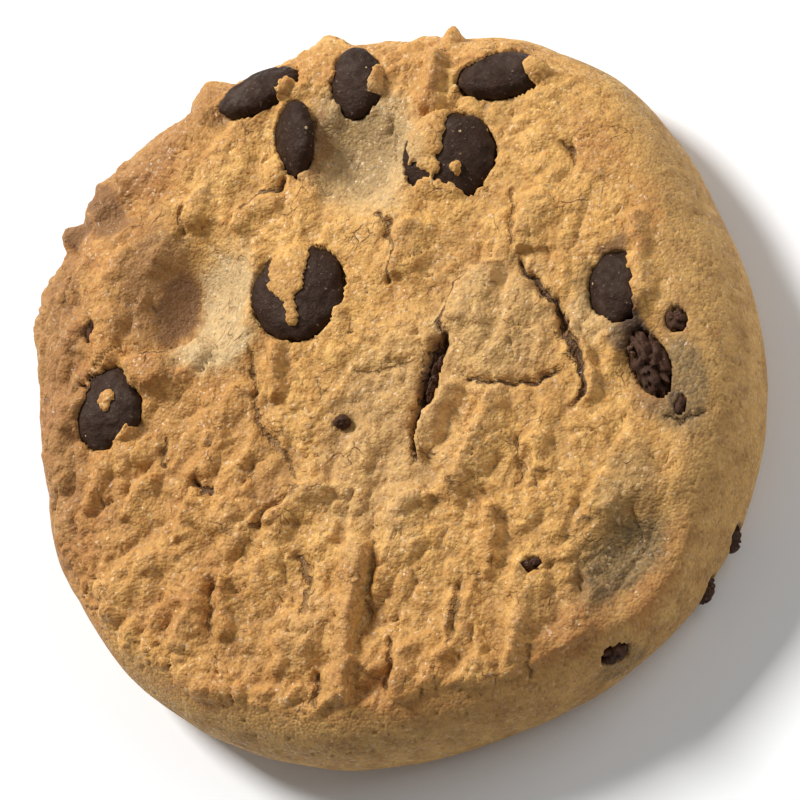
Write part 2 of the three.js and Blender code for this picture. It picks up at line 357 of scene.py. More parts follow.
# Folds and plate edges of the crust: height, widths of the slopes on the left and on the
# right of the line, then the line's points. A plate has a long slope behind its edge.
FOLDS = (
    (1.6, 3.0, 0.9, ((-0.6, -33), (-0.5, -29), (0.0, -24), (0.4, -19), (0.8, -15.2))),
    (1.0, 1.4, 1.7, ((12.7, -20.8), (12.8, -16), (13.0, -12.6))),
    (0.8, 0.8, 2.2, ((8.8, -28), (9.3, -24.5), (9.6, -21))),
    (1.4, 0.8, 3.4, ((-10.2, -14.8), (-8.2, -13.1), (-6.0, -11.2), (-3.5, -10.6), (-2, -11.6))),
    (0.8, 1.0, 1.2, ((-13.2, -26), (-13.3, -22), (-13.2, -18.5))),
    (0.9, 0.7, 2.6, ((-18.6, -26.5), (-17.4, -23.5), (-16, -20.5))),
    (1.0, 1.0, 2.2, ((3.9, -32), (4.5, -29), (4.8, -25.5))),
    (1.3, 0.8, 2.2, ((5.5, -8.8), (6.1, -6), (7.0, -4), (8.3, -2), (9.6, -0.8))),
    (1.3, 0.7, 3.2, ((7.5, -12.3), (9.5, -10.2), (10.6, -8), (11.4, -6), (12.3, -3.5), (13.2, -2))),
    (1.2, 0.8, 5.0, ((7.6, 3.6), (7.9, 6.2), (8.8, 8.3), (10.4, 9.8), (13.5, 10.4))),
    (1.1, 0.7, 5.0, ((14.6, 11.3), (14.8, 14.0), (15.8, 17.8))),
    (1.1, 0.8, 3.6, ((2.2, 9.0), (2.7, 11.5), (2.7, 13.4), (4.4, 16.2))),
    (1.7, 1.0, 4.0, ((-25.5, 1.0), (-23.4, 2.5), (-20.7, 2.9), (-18.5, 4.0), (-17.0, 5.4))),
    (1.0, 0.9, 3.4, ((-14.1, 14.5), (-14.1, 17.2), (-11.8, 18.6), (-9.6, 19.4))),
    (0.8, 0.8, 2.6, ((-19.4, 15.6), (-19.4, 18.2), (-17.5, 19.8))),
    (1.4, 1.3, 1.5, ((5.0, 25.5), (5.5, 29), (5.6, 33.5))),
    (1.3, 1.2, 2.0, ((27.2, 5.2), (26.6, 10.5), (26.0, 15.5))),
    (0.9, 0.7, 2.4, ((-24.6, -14.2), (-23.8, -11.5), (-22.4, -9.6), (-20.6, -9.3))),
    (0.9, 0.7, 2.4, ((-18.1, -16.2), (-18.2, -13.5), (-17.0, -11.9), (-15.2, -11.3))),
    (0.8, 0.7, 2.2, ((-14.3, -15.2), (-14.2, -13.0), (-12.8, -11.6))),
    (1.0, 1.3, 1.4, ((-8.7, -2.6), (-8.9, 1.0), (-9.4, 4.0))),
    (0.8, 0.7, 2.4, ((17.0, -10.8), (17.2, -8.2), (16.5, -6.4))),
    (0.9, 0.7, 2.8, ((3.0, -15.4), (4.2, -13.0), (6.0, -11.9), (7.4, -12.1))),
    (1.3, 1.7, 2.4, ((13.0, -31.0), (19.0, -28.6), (24.4, -25.2), (28.6, -20.6),
                     (30.9, -15.2), (31.6, -9.5))),
    (0.7, 0.8, 2.2, ((-7.6, -29.5), (-7.4, -25.6), (-6.8, -22.0))),
    (0.7, 0.8, 2.0, ((16.0, -25.5), (15.8, -21.6), (15.0, -18.2))),
    (1.2, 1.0, 2.0, ((19.6, 4.4), (21.4, 1.6), (22.3, -1.2), (22.0, -4.4))),
)

# Open cracks: depth, then the line's points, each with the crack's half-width there.
CRACKS = (
    (1.3, ((15.0, 11.4, 0.2), (15.3, 9.8, 0.3), (16.3, 8.6, 0.35), (17.5, 7.3, 0.3),
           (18.9, 6.3, 0.3), (18.9, 5.0, 0.4), (19.6, 3.0, 0.55), (20.6, 1.8, 0.6),
           (21.2, 0.3, 0.45), (21.7, -1.5, 0.35), (21.4, -3.0, 0.35), (20.0, -4.3, 0.2))),
    (0.9, ((10.2, 9.7, 0.15), (8.8, 8.6, 0.3), (8.0, 7.0, 0.3), (7.6, 4.6, 0.35),
           (7.5, 3.0, 0.3))),
    (1.9, ((7.9, 4.2, 0.3), (7.7, 2.6, 0.6), (6.9, 0.8, 0.65), (6.2, -1.5, 0.6), (5.5, -3.6, 0.45),
           (5.0, -6.0, 0.35), (5.3, -9.4, 0.2))),
    (0.35, ((-1.5, 0.4, 0.2), (0.5, 0.3, 0.3), (2.5, 0.5, 0.3), (4.9, 0.9, 0.2))),
    (0.7, ((9.6, -0.9, 0.2), (12.0, -1.3, 0.3), (15.0, -1.5, 0.2), (17.2, -1.6, 0.3),
           (20.0, 0.0, 0.2))),
    (0.5, ((-12.2, 4.2, 0.2), (-11.6, 1.5, 0.25), (-11.4, -1.5, 0.3), (-10.8, -4.2, 0.3),
           (-9.4, -6.0, 0.4), (-8.0, -7.8, 0.4), (-6.8, -9.6, 0.3), (-5.9, -10.6, 0.2))),
    (0.6, ((-11.2, -15.2, 0.3), (-9.2, -13.2, 0.5), (-7.2, -11.8, 0.6), (-5.4, -10.8, 0.3))),
    (0.6, ((-20.3, -8.6, 0.3), (-20.7, -7.0, 0.4), (-20.2, -5.4, 0.3))),
    (0.9, ((-17.4, -9.6, 0.3), (-16.0, -11.0, 0.5), (-14.6, -11.4, 0.3))),
    (0.45, ((3.5, -25.5, 0.3), (3.7, -28.0, 0.4), (3.2, -30.8, 0.3))),
    (0.5, ((-3.4, -28.6, 0.3), (-3.8, -32.4, 0.5))),
    (0.6, ((0.3, 16.4, 0.3), (1.7, 14.7, 0.4), (2.5, 13.2, 0.3), (2.4, 10.5, 0.25),
           (1.8, 8.4, 0.2))),
    (0.5, ((29.4, -5.0, 0.2), (31.0, -6.0, 0.25), (33.4, -4.8, 0.15))),
    (0.35, ((17.2, -26.4, 0.2), (16.6, -28.8, 0.3), (17.6, -30.4, 0.2))),
    (0.8, ((-14.2, 17.4, 0.3), (-12.0, 18.7, 0.35), (-9.9, 19.4, 0.3), (-9.6, 21.0, 0.2))),
    (0.5, ((-20.0, 15.4, 0.3), (-20.1, 18.4, 0.4))),
    (0.45, ((9.9, -20.6, 0.3), (9.9, -23.0, 0.4), (9.4, -26.6, 0.3))),
    (0.6, ((18.6, 22.6, 0.2), (19.6, 21.6, 0.3), (20.2, 19.6, 0.2))),
    (0.6, ((-6.4, -17.6, 0.4), (-5.2, -18.4, 0.5), (-4.6, -21.0, 0.5), (-5.0, -23.6, 0.3))),
    (0.4, ((14.0, 17.8, 0.2), (14.1, 14.6, 0.25), (14.4, 12.0, 0.2))),
    (0.7, ((-24.0, 3.1, 0.3), (-21.5, 2.9, 0.4), (-19.6, 4.0, 0.3))),
    (0.35, ((1.6, -15.8, 0.3), (1.4, -20.0, 0.4), (1.2, -25.0, 0.3))),
    (0.4, ((15.6, -12.0, 0.2), (15.8, -9.4, 0.3), (15.2, -6.6, 0.2))),
    (0.45, ((-14.9, -19.0, 0.3), (-15.0, -22.0, 0.4), (-14.8, -25.6, 0.3))),
)

# Hollows in the top, and swells where the depth is below 0: place, half-sizes to the left,
# to the right and along, depth and turn.
HOLLOWS = (
    (-18.6, 8.8, 5.2, 6.8, 8.6, 3.9, -4),
    (-2.0, 21.4, 5.6, 5.4, 6.6, 2.6, 12),
    (26.6, -18.6, 5.4, 4.6, 7.8, 2.4, -32),
    (-11.6, 24.8, 2.6, 2.4, 4.4, 1.0, 0),
    (-27.0, 9.6, 4.5, 4.2, 9.0, -0.9, 0),
    (-27.5, 18.5, 3.0, 3.0, 4.0, 1.6, -40),
    (-17.0, 28.0, 2.2, 2.2, 2.6, 1.6, 20),
    (13.0, 4.5, 6.0, 7.0, 7.0, -0.6, -10),
    (-8.6, 1.6, 2.2, 2.6, 4.5, -0.5, 5),
    (-22.2, 1.0, 2.4, 3.0, 2.6, -1.3, 0),
    (27.3, 0.4, 3.0, 3.0, 5.5, 0.9, -20),
    (22.4, 7.6, 3.0, 3.0, 4.6, 0.9, 0),
    (-34.3, 17.4, 2.2, 2.2, 1.8, -1.7, 0),
    (-32.0, 21.0, 3.2, 3.2, 3.6, -1.3, 0),
    (-30.8, 23.2, 2.0, 2.0, 2.2, -0.8, 0),
    (-20.4, 33.0, 3.4, 3.4, 3.0, -1.5, 0),
    (13.2, 36.4, 5.0, 5.0, 5.0, -0.5, 0),
    (-35.0, -16.0, 5.0, 5.0, 7.0, -0.45, 0),
    (-35.6, 12.0, 4.0, 4.0, 4.0, -0.4, 0),
    (-38.0, 5.5, 4.0, 4.0, 6.0, 0.4, 0),
    (6.4, 37.0, 1.0, 1.2, 2.2, -1.2, 0),
    (-6.6, 37.6, 2.0, 2.0, 2.0, -0.8, 0),
)

# Patches of colour: place, half-sizes along and across, turn and strength. Pale is floury
# dough; dusky is partly browned dough and partly painted shade on the shaded sides of hollows,
# cracks and ridges; stained is partly dough greyed by chocolate under it and partly painted
# shade in hollows; a smudge is a smear of chocolate, and toasted is the oven's orange.
PALE_PATCHES = (
    (-15.8, 8.4, 8.4, 5.6, 84, 1.0),
    (-15.6, 3.8, 5.6, 3.6, 15, 1.0),
    (-1.4, 23.0, 9.6, 8.6, 120, 0.8),
    (22.0, 4.6, 4.2, 3.2, 150, 0.5),
    (3.0, -6.0, 16.0, 10.0, 70, 0.3),
    (12.0, 4.0, 11.0, 9.0, 60, 0.35),
)
DUSKY_AND_SHADED_PATCHES = (
    (6.7, 0.2, 3.8, 1.1, 72, 1.0),
    (-20.6, 8.4, 7.0, 2.7, 76, 0.95),
    (-22.4, 9.8, 9.5, 6.0, 94, 0.55),
    (-34.5, 1.0, 30.0, 8.0, 94, 0.42),
    (-26.0, 25.0, 16.0, 6.0, 45, 0.36),
    (-6.4, 24.0, 5.4, 2.2, 84, 0.6),
    (27.4, -0.6, 7.0, 3.4, 105, 0.5),
    (24.0, 11.2, 2.6, 1.8, 20, 0.8),
    (-29.4, 19.0, 6.5, 3.2, 130, 0.75),
    (-32.6, 17.4, 3.0, 2.0, 130, 0.75),
    (-17.0, 28.0, 2.6, 2.2, 30, 0.5),
    (30.2, 4.1, 2.6, 2.2, 60, 0.5),
    (-8.8, -10.6, 5.4, 2.0, 48, 0.2),
    (21.5, -23.6, 7.5, 4.4, 30, 0.2),
)
STAINED_AND_SHADED_PATCHES = (
    (25.8, -18.6, 7.6, 5.4, 45, 0.95),
    (26.4, -12.6, 7.0, 4.4, 80, 0.5),
    (-3.0, 24.0, 8.5, 7.5, 110, 0.5),
    (26.7, -29.7, 4.6, 3.2, 42, 0.6),
    (31.0, -2.6, 7.0, 4.0, 100, 0.85),
    (21.6, 7.6, 3.0, 1.6, 100, 0.5),
)
SMUDGES = (
    (26.0, 4.0, 3.6, 2.2, 120, 1.0),
    (25.4, 2.4, 4.2, 1.8, 110, 0.9),
    (30.4, -4.0, 2.4, 1.2, 100, 0.6),
    (-29.6, 5.6, 1.4, 0.9, 60, 0.8),
    (22.6, -14.6, 1.8, 0.4, 20, 0.9),
)
TOASTED_PATCHES = (
    (-31.0, 12.0, 24.0, 12.0, 95, 1.0),
    (-21.0, 27.0, 16.0, 9.0, 40, 0.9),
    (0.0, 33.0, 22.0, 5.0, 0, 0.7),
    (26.8, 14.5, 6.0, 2.8, 85, 0.8),
    (22.5, 21.5, 6.0, 3.4, 130, 0.7),
    (-9.0, 1.2, 5.5, 2.4, 95, 0.6),
    (-1.2, -23.0, 10.5, 1.8, 92, 0.45),
    (12.6, -15.5, 6.0, 1.8, 90, 0.35),
    (-22.0, -10.0, 30.0, 19.0, 105, 0.6),
    (-33.0, -8.0, 30.0, 10.0, 95, 1.0),
    (-2.0, -27.0, 36.0, 11.0, -3, 0.45),
    (29.5, -20.0, 9.0, 3.0, 65, 0.9),
    (21.0, -25.6, 8.5, 4.4, 33, 1.0),
    (5.0, 29.5, 6.0, 2.6, 85, 0.8),
    (-26.0, -15.0, 16.0, 6.0, 115, 0.6),
    (-22.2, 1.0, 3.4, 3.0, 30, 1.0),
    (-6.0, -31.0, 26.0, 4.0, -4, 0.8),
)

# Dough baked over the chips: thickness, half-width, then the line's points.
SMEARS = (
    (0.5, 2.0, ((-8.2, 13.8), (-8.0, 10.6), (-8.0, 9.2))),
    (0.35, 0.75, ((-7.6, 8.6), (-7.1, 5.6))),
    (0.7, 2.0, ((5.6, 27.4), (5.6, 24.6), (5.2, 22.4))),
    (0.5, 0.9, ((5.4, 20.6), (6.2, 20.2))),
    (0.6, 1.5, ((5.2, 17.6), (7.9, 16.9))),
    (0.5, 0.65, ((8.6, 19.8), (8.7, 19.8))),
    (0.4, 0.9, ((-26.2, -1.2), (-26.5, -1.9))),
    (0.5, 1.5, ((-23.6, -5.6), (-24.4, -6.2))),
    (0.5, 0.9, ((0.2, 31.0), (0.0, 29.2))),
    (0.4, 1.0, ((-11.6, 21.8), (-10.8, 21.6))),
    (0.5, 1.3, ((17.4, 29.2), (16.0, 30.2))),
    (0.5, 1.4, ((26.8, 10.6), (27.3, 7.6), (27.5, 5.0))),
    (0.4, 0.8, ((-10.0, 29.4), (-9.4, 30.4))),
    (0.3, 0.4, ((25.9, 1.2), (26.2, 0.6))),
    (0.3, 0.45, ((23.2, -14.4), (24.0, -14.2))),
)

# The border between crackled crust and smooth wall by compass angle: how far it lies down
# the wall from the crown, and how wide it fades, in mm.
BORDER = (
    (-180, 8.5, 0.8), (-150, 7.0, 0.8), (-125, 4.0, 0.6), (-105, 2.4, 0.5), (-80, 2.0, 0.5),
    (-58, 2.6, 1.0), (-35, 1.8, 1.2), (-20, 0.6, 1.8), (-8, -1.4, 3.0), (12, -1.4, 3.0),
    (30, 1.0, 2.6), (48, 4.5, 1.8), (66, 8.0, 1.0), (80, 9.5, 0.8), (110, 9.5, 0.8),
    (180, 8.5, 0.8),
)

GRAIN_TURN = 72  # the long way of the crust's lumps, in degrees
MEAN_BILLOW, MEAN_LUMP = 0.35, 0.6
CREVICE_DEPTH = 0.45  # in mm
UNDERSIDE_BROWN = 0.45  # how much darker the underside bakes, from 0 to 1


def lumps_of(u, v, size, seed, tilt=0.0):
    """Rounded lumps with creases between them: domes on the cells of a cell noise, each of
    its own height and, with a tilt, highest on its left."""
    first, second, owner, past = cell_noise(u, v, size, seed)
    dome = np.clip(1 - 0.75 * first ** 2, 0, 1)
    return (dome * (0.5 + owner) - tilt * past) * ease(-0.05, 0.3, second - first)


def billow(u, v, size, seed):
    """Rounded swells with creases between them, 0 to about 1: noise without its sign."""
    return np.sqrt(gradient_noise(u, v, size, seed) ** 2 + 0.002)


def crackle(u, v):
    """Height of the crackled crust: rounded lumps of ever smaller size, each layer with
    creases between its lumps, the larger ones longer one way and on warped places. Each
    layer is a height in mm times its noise less the noise's mean. Also the depth of the
    narrow crevices on some borders between cells."""
    wu, wv = wander(u, v, (0.9, 6), (0.4, 1.9), 11)
    a = math.radians(GRAIN_TURN)
    p, q = wu * math.cos(a) + wv * math.sin(a), wu * math.sin(a) - wv * math.cos(a)
    rougher = 0.75 + 0.45 * ease(4.0, -12.0, v + 0.4 * u)
    height = 0.45 * gradient_noise(q, p / 1.5, 8, 20)
    height += 1.25 * (billow(q, p / 1.9, 5.2, 31) - MEAN_BILLOW) * rougher
    height += 0.65 * (billow(q, p / 1.5, 2.7, 32) - MEAN_BILLOW) * rougher
    height += 0.26 * (lumps_of(q, p / 1.2, 2.0, 22, 0.3) - MEAN_LUMP) * rougher
    height += 0.16 * (billow(u, v, 1.35, 33) - MEAN_BILLOW)
    height += 0.07 * (lumps_of(u, v, 0.9, 25) - MEAN_LUMP)
    first, second, _, _ = cell_noise(q, p / 1.4, 3.1, 29)
    crevice = ease(0.07, 0.0, second - first) * ease(0.0, 0.4, gradient_noise(u, v, 4.5, 30))
    return height, CREVICE_DEPTH * crevice


def fold_heights(u, v):
    """Heights of the placed folds and cracks: a fold is a rounded ridge along its line with
    a width for each side, and a crack is a groove. Both fade out at their ends. The last two
    are how far a place lies to the right of its nearest crack, in half-widths, and how deep
    that crack is there."""
    wu, wv = wander(u, v, (0.4, 1.8), (0.2, 0.8), 61)
    height = np.zeros(u.shape)
    for tall, left, behind, points in FOLDS:
        gap, where, right = line_distance(wu, wv, points)
        ends = ease(0, 0.15, where) * ease(1, 0.85, where)
        slope = np.clip(1 - (gap / np.where(right, behind, left)) ** 2, 0, 1) ** 2
        height = np.maximum(height, tall * ends * slope)
    crack = np.zeros(u.shape)
    side = np.zeros(u.shape)
    open_deep = np.zeros(u.shape)
    nearest = np.full(u.shape, 9.0)
    uneven = 0.95 + 0.2 * gradient_noise(u, v, 1.6, 65)
    for deep, points in CRACKS:
        gap, where, right = line_distance(wu, wv, [(x, y) for x, y, _ in points])
        widths = [width for _, _, width in points]
        wide = np.interp(where * (len(points) - 1), np.arange(len(points)), widths)
        ends = ease(0, 0.1, where) * ease(1, 0.9, where)
        groove = 0.8 * np.exp(-(gap / wide) ** 2) + 0.3 * np.exp(-(gap / (0.4 + 1.2 * wide)) ** 2)
        crack = np.maximum(crack, deep * uneven * ends * groove)
        nearer = gap < nearest
        nearest = np.where(nearer, gap, nearest)
        side = np.where(nearer, np.where(right, gap, -gap) / wide, side)
        open_deep = np.where(nearer, deep * uneven * ends * ease(1.6, 0.9, gap), open_deep)
    return height, crack, side, open_deep


def hollow_depth(u, v):
    """Depth of the placed hollows, each with a side of its own to the left and the right."""
    sink = np.zeros(u.shape)
    for x, y, left, right, along, deep, turn in HOLLOWS:
        p, q = turned(u, v, x, y, turn)
        far = (p / np.where(p < 0, left, right)) ** 2 + (q / along) ** 2
        sink += deep * np.clip(1 - far, 0, 1) ** 1.5
    return sink


def patches(u, v, places):
    """Strength of some patches of colour, 0 to 1, with ragged edges."""
    wu, wv = wander(u, v, (0.9, 3), (0.4, 1.1), 81)
    field = np.zeros(u.shape)
    for x, y, along, across, turn, strength in places:
        bump = bump_at(wu, wv, x, y, along, across, turn)
        field = np.maximum(field, strength * ease(0, 0.6, bump))
    return field


def crust_fields(slab):
    """The crust's height over the slab in mm, and fields from 0 to 1 for its colour. The
    height is crackle and folds on the top, faded at the border into a smooth wall with small
    pits, with a rim where that border is crisp, less the hollows and cracks."""
    u, v = slab.u, slab.v
    compass = (np.degrees(slab.angle) + 180) % 360 - 180
    angles, places, fades = zip(*BORDER)
    border = np.interp(compass, angles, places)
    fade = np.interp(compass, angles, fades)
    border = border + 0.9 * gradient_noise(u, v, 6, 41) + 0.6 * gradient_noise(u, v, 2.2, 42)
    past = slab.past_crown - border
    top = ease(fade, -fade, past)
    crisp = ease(2.4, 0.8, fade)
    rim = crisp * np.exp(-((past + 1.3) / 1.2) ** 2)
    rough, crevice = crackle(u, v)
    rough *= ease(1.5, -6.0 * (1.4 - crisp), past)
    folds, crack, side, open_deep = fold_heights(u, v)
    crack = np.maximum(crack, crevice * top)
    smooth = (0.16 * gradient_noise(u, v, 7, 51) + 0.03 * gradient_noise(u, v, 2.0, 52)
              + 0.02 * gradient_noise(u, v, 0.7, 53))
    first, _, owner, _ = cell_noise(u, v, 1.3, 54)
    smooth -= 0.22 * ease(0.22, 0.08, first) * (owner < 0.25)
    pale = patches(u, v, PALE_PATCHES)
    dusky_and_shade = patches(u, v, DUSKY_AND_SHADED_PATCHES)
    sink = hollow_depth(u, v)
    rough *= (1 - 0.65 * ease(0.3, 1.6, sink)) * (1 - 0.4 * ease(0.3, 0.9, folds))
    over = ease(1.0, 7.0, slab.past_crown)
    lift = top * (rough + folds - 0.35 * over) + (1 - top) * (smooth - 0.2 * crisp)
    lift += 0.35 * rim * (1 - over)
    lift -= sink + crack
    toasted = np.maximum(patches(u, v, TOASTED_PATCHES), 0.5 * rim)
    blotches = (0.25 * ease(-0.1, 0.6, gradient_noise(u, v, 6.5, 43))
                + 0.3 * ease(0.2, 1.0, rough + 0.8 * folds))
    toasted = np.clip(0.8 * toasted + blotches * top, 0, 1)
    # The dark field is partly painted shade: darker in the cracks and crevices, in the low places
    # of the crackle and in the shaded dusky patches. The underside's brown below is real baking.
    dark = dusky_and_shade + 0.8 * ease(0.3, 1.2, crack) + 0.12 * ease(-0.3, -0.9, rough)
    dark = np.clip(dark + UNDERSIDE_BROWN * ease(2.7, 3.05, slab.down), 0, 1)
    return lift, {
        "height": (rough + 0.5 * folds) * top, "top": top, "toasted": toasted, "dark": dark,
        "pale": pale * (1 - ease(0.1, 0.6, dusky_and_shade)), "stained": patches(u, v, STAINED_AND_SHADED_PATCHES),
        "smudge": patches(u, v, SMUDGES), "crack_side": side, "crack_deep": open_deep}


COVER = 0.25  # crust thinner than this over chocolate breaks away, in mm
CLEAR = 0.12  # room between the dough and the chocolate in it, in mm
THINNEST_SMEAR = 0.08  # dough over chocolate thinner than this is left out, in mm
CARVE_REACH = 4  # how far past a lump's own reach the crust is looked at, in mm


def smear_thickness(u, v):
    """Thickness of the dough baked over the chips: rounded strips along their lines."""
    thick = np.zeros(u.shape)
    ragged = 0.35 * gradient_noise(u, v, 1.4, 71) + 0.2 * gradient_noise(u, v, 0.6, 72)
    for tall, wide, points in SMEARS:
        gap, _, _ = line_distance(u, v, points)
        thick = np.maximum(thick, tall * np.sqrt(np.clip(1 - ((gap + ragged) / wide) ** 2, 0, 1)))
    return thick


def carve(slab, lift, lumps):
    """Lowers the crust under every lump that would break it, so each sits in a pocket, and
    raises it over the lump where dough was baked on top."""
    smear = smear_thickness(slab.u, slab.v)
    for lump in lumps:
        away = np.linalg.norm(slab.point - lump.middle, axis=1)
        near = np.nonzero(away < lump.reach[0] + CARVE_REACH)[0]
        hit, enter, leave = lump.span(slab, near)
        smeared = hit & (smear[near] > THINNEST_SMEAR)
        lift[near[smeared]] = np.maximum(lift[near], leave + smear[near])[smeared]
        shows = hit & ~smeared & (leave > lift[near] - COVER)
        lift[near[shows]] = np.minimum(lift[near], enter - CLEAR)[shows]


def mesh_object(name, points, faces, fields=()):
    """A mesh object from points in mm and faces, smooth shaded, with named point values."""
    mesh = bpy.data.meshes.new(name)
    mesh.from_pydata((points * MM).tolist(), [], faces.tolist())
    mesh.polygons.foreach_set("use_smooth", np.ones(len(faces), bool))
    for key, values in fields:
        layer = mesh.attributes.new(key, "FLOAT", "POINT")
        layer.data.foreach_set("value", np.ascontiguousarray(values, np.float32))
    mesh.update()
    piece = bpy.data.objects.new(name, mesh)
    bpy.context.scene.collection.objects.link(piece)
    return piece


SOFTENING = 0.3  # over how many mm the crust eases to its limit
MARGIN = 0.03  # how far inside the frame's box that limit lies, in mm


def held_in(points):
    """The points, eased back near the sides and the top of the frame's own box: what passes
    a limit less the softening is squeezed into the softening by a hyperbolic tangent."""
    limit = np.array(cad_box[1]) / MM - MARGIN
    size = np.abs(points)
    excess = np.maximum(size - limit + SOFTENING, 0)
    return np.sign(points) * (size - excess + SOFTENING * np.tanh(excess / SOFTENING))


def underside(slab):
    """Height of the underside below the slab, never above it: pits and a few pores."""
    u, v = slab.point[:, 0], slab.point[:, 1]
    first, _, owner, _ = cell_noise(u, v, 2.6, 91)
    pores = 0.5 * ease(0.3, 0.1, first) * (owner < 0.3)
    return -0.01 - 0.05 * (1 + gradient_noise(u, v, 3, 92)) - pores


def make_dough(lumps):
    """The whole dough: the slab moved along its normals by the crust's height on the top and
    the wall, and by the underside's below, with a pocket for each lump."""
    slab = Slab()
    lift, fields = crust_fields(slab)
    under = ease(2.65, 3.0, slab.down)
    lift = lift * (1 - under) + underside(slab) * under
    carve(slab, lift, lumps)
    points = slab.point + lift[:, None] * slab.normal
    points = held_in(points)
    dough = mesh_object("baked_dough", points, ring_faces(slab.rings), fields.items())
    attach(dough, "root")
    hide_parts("dough")
    return dough


CHIP_AROUND = 64
CHIP_STEPS = 40
MOST_SWELL = 0.03  # the most that bumps rise, as a part of the reach: just to the node


def make_chip(lump, material):
    """One piece of chocolate: rings about its thick axis, from base to dome, on the same
    ellipsoids as depth(), scaled in and out by noise. Broken chocolate is far lumpier."""
    turn = np.arange(CHIP_AROUND) * 2 * np.pi / CHIP_AROUND
    rise = (np.arange(1, CHIP_STEPS) / CHIP_STEPS - 0.5) * np.pi
    turn, rise = np.meshgrid(turn, rise)
    c, s = np.cos(rise), np.sin(rise)
    low = (np.abs(c) ** lump.power + np.abs(s) ** lump.power) ** (-1 / lump.power)
    size = np.where(s > 0, 1.0, low)
    local = np.stack([c * np.cos(turn) * size, c * np.sin(turn) * size, s * size], -1)
    local = np.vstack([[0, 0, -1], local.reshape(-1, 3), [0, 0, 1]])
    upper, lower = [*lump.reach[:2], lump.dome], [*lump.reach[:2], lump.base]
    scale = np.where(local[:, 2:] > 0, [upper], [lower])
    seed = sum(map(ord, lump.name))
    u, v, w = (local * scale).T
    dents = 0.07 * gradient_noise(u + seed, v + w, 2.4, seed)
    dents += 0.03 * gradient_noise(u + seed, v - w, 0.7, seed + 1)
    dents += 0.05 * gradient_noise(u - seed, v + w, 1.4, seed + 4)
    if not lump.is_chip:
        dents += 0.5 * gradient_noise(u, v + w, 0.9, seed + 2)
        dents -= 0.15 * lumps_of(u + seed, v - w, 0.7, seed + 3)
    local = local * (1 - MOST_SWELL + np.minimum(dents, MOST_SWELL)[:, None])
    points = lump.middle + (local * scale) @ lump.axes
    rings = [(1, 0)] + [(CHIP_AROUND, 0)] * (CHIP_STEPS - 1) + [(1, 0)]
    name = lump.name.replace("_chip", "_chocolate").replace("_shard", "_fragment")
    piece = mesh_object(name, points, ring_faces(rings))
    piece.data.materials.append(material)
    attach(piece, "root")
    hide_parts(lump.name)


# ---------------------------------------------------------------- materials

class Shader:
    """A short way to add and link a material's nodes."""

    def __init__(self, name):
        self.material = bpy.data.materials.new(name)
        self.material.use_nodes = True
        self.tree = self.material.node_tree
        self.surface = self.tree.nodes["Principled BSDF"]
        self.place = self.add("ShaderNodeTexCoord").outputs["Object"]

    def add(self, kind, **settings):
        """A new node with some of its settings."""
        node = self.tree.nodes.new(kind)
        for key, value in settings.items():
            setattr(node, key, value)
        return node

    def link(self, out, into):
        self.tree.links.new(out, into)

    def noise(self, scale, detail=3, roughness=0.55):
        """A noise texture's value, from 0 to 1, with so many swells a metre."""
        node = self.add("ShaderNodeTexNoise")
        node.inputs["Scale"].default_value = scale
        node.inputs["Detail"].default_value = detail
        node.inputs["Roughness"].default_value = roughness
        self.link(self.place, node.inputs["Vector"])
        return node.outputs["Fac"]

    def cells(self, scale, vector=None, feature="F1"):
        """A cell texture's node, with so many cells a metre."""
        node = self.add("ShaderNodeTexVoronoi", feature=feature)
        node.inputs["Scale"].default_value = scale
        self.link(vector or self.place, node.inputs["Vector"])
        return node

    def warped(self, scale, reach):
        """Object coordinates shifted by a noise, by 0 to reach mm along each axis."""
        noise = self.add("ShaderNodeTexNoise")
        noise.inputs["Scale"].default_value = scale
        self.link(self.place, noise.inputs["Vector"])
        node = self.add("ShaderNodeVectorMath", operation="MULTIPLY_ADD")
        node.inputs[1].default_value = (reach * MM, reach * MM, reach * MM)
        self.link(noise.outputs["Color"], node.inputs[0])
        self.link(self.place, node.inputs[2])
        return node.outputs["Vector"]

    def field(self, name):
        """A named point value of the mesh."""
        return self.add("ShaderNodeAttribute", attribute_name=name).outputs["Fac"]

    def spread(self, value, low, high, to_low=0.0, to_high=1.0):
        """A value's range from low to high, spread over another range and clamped to it."""
        node = self.add("ShaderNodeMapRange")
        node.inputs["From Min"].default_value = low
        node.inputs["From Max"].default_value = high
        node.inputs["To Min"].default_value = to_low
        node.inputs["To Max"].default_value = to_high
        self.link(value, node.inputs["Value"])
        return node.outputs["Result"]

    def math(self, operation, *values):
        """One step of arithmetic on sockets and numbers, by the name of its operation."""
        node = self.add("ShaderNodeMath", operation=operation)
        for socket, value in zip(node.inputs, values):
            if isinstance(value, (int, float)):
                socket.default_value = value
            else:
                self.link(value, socket)
        return node.outputs["Value"]

    def mix(self, factor, a, b):
        """A colour between a and b, which are sockets or colours."""
        node = self.add("ShaderNodeMix", data_type="RGBA")
        for socket, value in ((node.inputs[0], factor), (node.inputs[6], a), (node.inputs[7], b)):
            if isinstance(value, (int, float)):
                socket.default_value = value
            elif isinstance(value, tuple):
                socket.default_value = (*value, 1)
            else:
                self.link(value, socket)
        return node.outputs[2]

    def bump(self, heights):
        """Chained bumps from (height, distance in mm) pairs."""
        normal = None
        for height, distance in heights:
            node = self.add("ShaderNodeBump")
            node.inputs["Distance"].default_value = distance * MM
            self.link(height, node.inputs["Height"])
            if normal is not None:
                self.link(normal, node.inputs["Normal"])
            normal = node.outputs["Normal"]
        self.link(normal, self.surface.inputs["Normal"])
